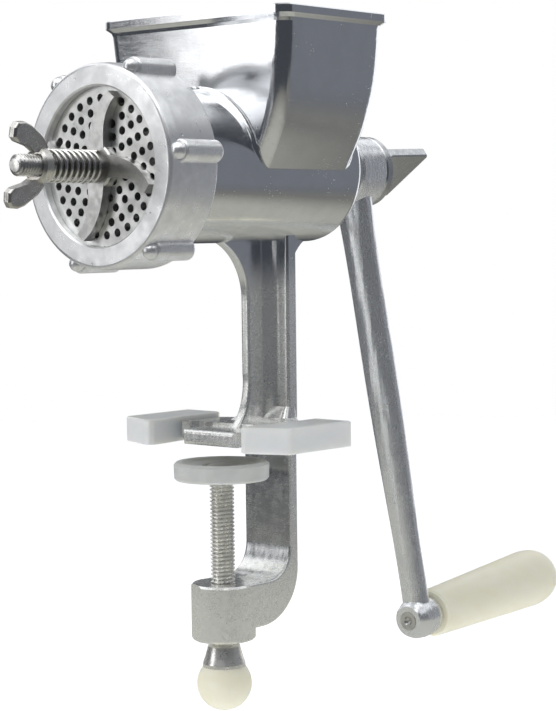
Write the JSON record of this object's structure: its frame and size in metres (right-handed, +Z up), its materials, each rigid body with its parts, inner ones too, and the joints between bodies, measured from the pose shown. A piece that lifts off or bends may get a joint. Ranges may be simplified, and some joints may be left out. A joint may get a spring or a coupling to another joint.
{
  "type": "hand food mincer",
  "caption": "Hand-cranked cast mincer and pellet press with a flared hopper, feed screw, perforated outlet plate, outside cutter and table clamp.",
  "frame": {"origin": "on the clamp-screw axis, level with the underside of the upper jaw, which is the table top plane", "axes": "+Z up, barrel axis along Y with the outlet facing -Y and the crank towards +Y, +X to the right when looking along +Y"},
  "size_m": [0.0962, 0.2893, 0.2693],
  "materials": {
    "cast_aluminium": "polished casting",
    "cast_aluminium_matt": "as-cast, lightly machined",
    "stainless_steel": "satin",
    "plated_steel": "bright zinc plate",
    "cream_plastic": "semi-gloss moulding",
    "milky_plastic": "translucent, satin",
    "nylon": "matt"
  },
  "bodies": {
    "frame": {"body_casting": "cast_aluminium", "plate_locating_pin": "plated_steel", "jaw_cap_left": "milky_plastic", "jaw_cap_right": "milky_plastic", "perforated_plate": "stainless_steel", "thrust_washer": "nylon"},
    "outlet_ring": {"ring_nut": "cast_aluminium"},
    "worm": {"feed_screw": "cast_aluminium_matt", "front_stud": "plated_steel"},
    "cutter": {"cross_cutter": "stainless_steel"},
    "spring": {"cutter_spring": "stainless_steel"},
    "front_nut": {"wing_nut": "stainless_steel"},
    "crank": {"crank_arm": "cast_aluminium", "handle_spindle": "plated_steel"},
    "grip": {"handle_grip": "cream_plastic"},
    "rear_screw": {"rear_wing_screw": "cast_aluminium"},
    "clamp_pad": {"clamp_disc": "milky_plastic"},
    "clamp_spindle": {"clamp_screw": "plated_steel", "clamp_knob": "cream_plastic", "disc_rivet": "plated_steel"}
  },
  "joints": [
    {"name": "crank_turn", "type": "hinge", "parent": "frame", "child": "worm", "pos_m": [0, 0, 0.107], "axis": [0, 1, 0], "continuous": true},
    {"name": "crank_slide", "type": "slide", "parent": "worm", "child": "crank", "axis": [0, 1, 0], "range_m": [0, 0.01]},
    {"name": "rear_screw_turn", "type": "hinge", "parent": "crank", "child": "rear_screw", "pos_m": [0, 0.0905, 0.107], "axis": [0, 1, 0], "range_deg": [-20, 2900]},
    {"name": "handle_spin", "type": "hinge", "parent": "crank", "child": "grip", "pos_m": [0.02575, 0.09166, -0.07857], "axis": [-0.0084, 0.9981, 0.0605], "continuous": true},
    {"name": "cutter_float", "type": "slide", "parent": "worm", "child": "cutter", "axis": [0, -1, 0], "range_m": [0, 0.0015], "stiffness_N_per_m": 600, "springref_m": -0.002},
    {"name": "front_nut_travel", "type": "slide", "parent": "worm", "child": "spring", "axis": [0, -1, 0], "range_m": [0, 0.008], "deforming": ["cutter_spring"]},
    {"name": "front_nut_turn", "type": "hinge", "parent": "spring", "child": "front_nut", "pos_m": [0, -0.092, 0.107], "axis": [0, -1, 0], "range_deg": [-20, 2330]},
    {"name": "ring_nut_turn", "type": "hinge", "parent": "frame", "child": "outlet_ring", "pos_m": [0, -0.052, 0.107], "axis": [0, -1, 0], "range_deg": [0, 1440]},
    {"name": "clamp_lift", "type": "slide", "parent": "frame", "child": "clamp_pad", "axis": [0, 0, 1], "range_m": [-0.036, 0.0015]},
    {"name": "clamp_screw_turn", "type": "hinge", "parent": "clamp_pad", "child": "clamp_spindle", "pos_m": [0, 0, -0.05], "axis": [0, 0, 1], "range_deg": [-8660, 380]}
  ],
  "couplings": [
    {"joint": "clamp_screw_turn", "follows": "clamp_lift", "rad_per_m": 4188.8},
    {"joint": "front_nut_turn", "follows": "front_nut_travel", "rad_per_m": 5026.5},
    {"joint": "rear_screw_turn", "follows": "crank_slide", "rad_per_m": 5026.5}
  ]
}
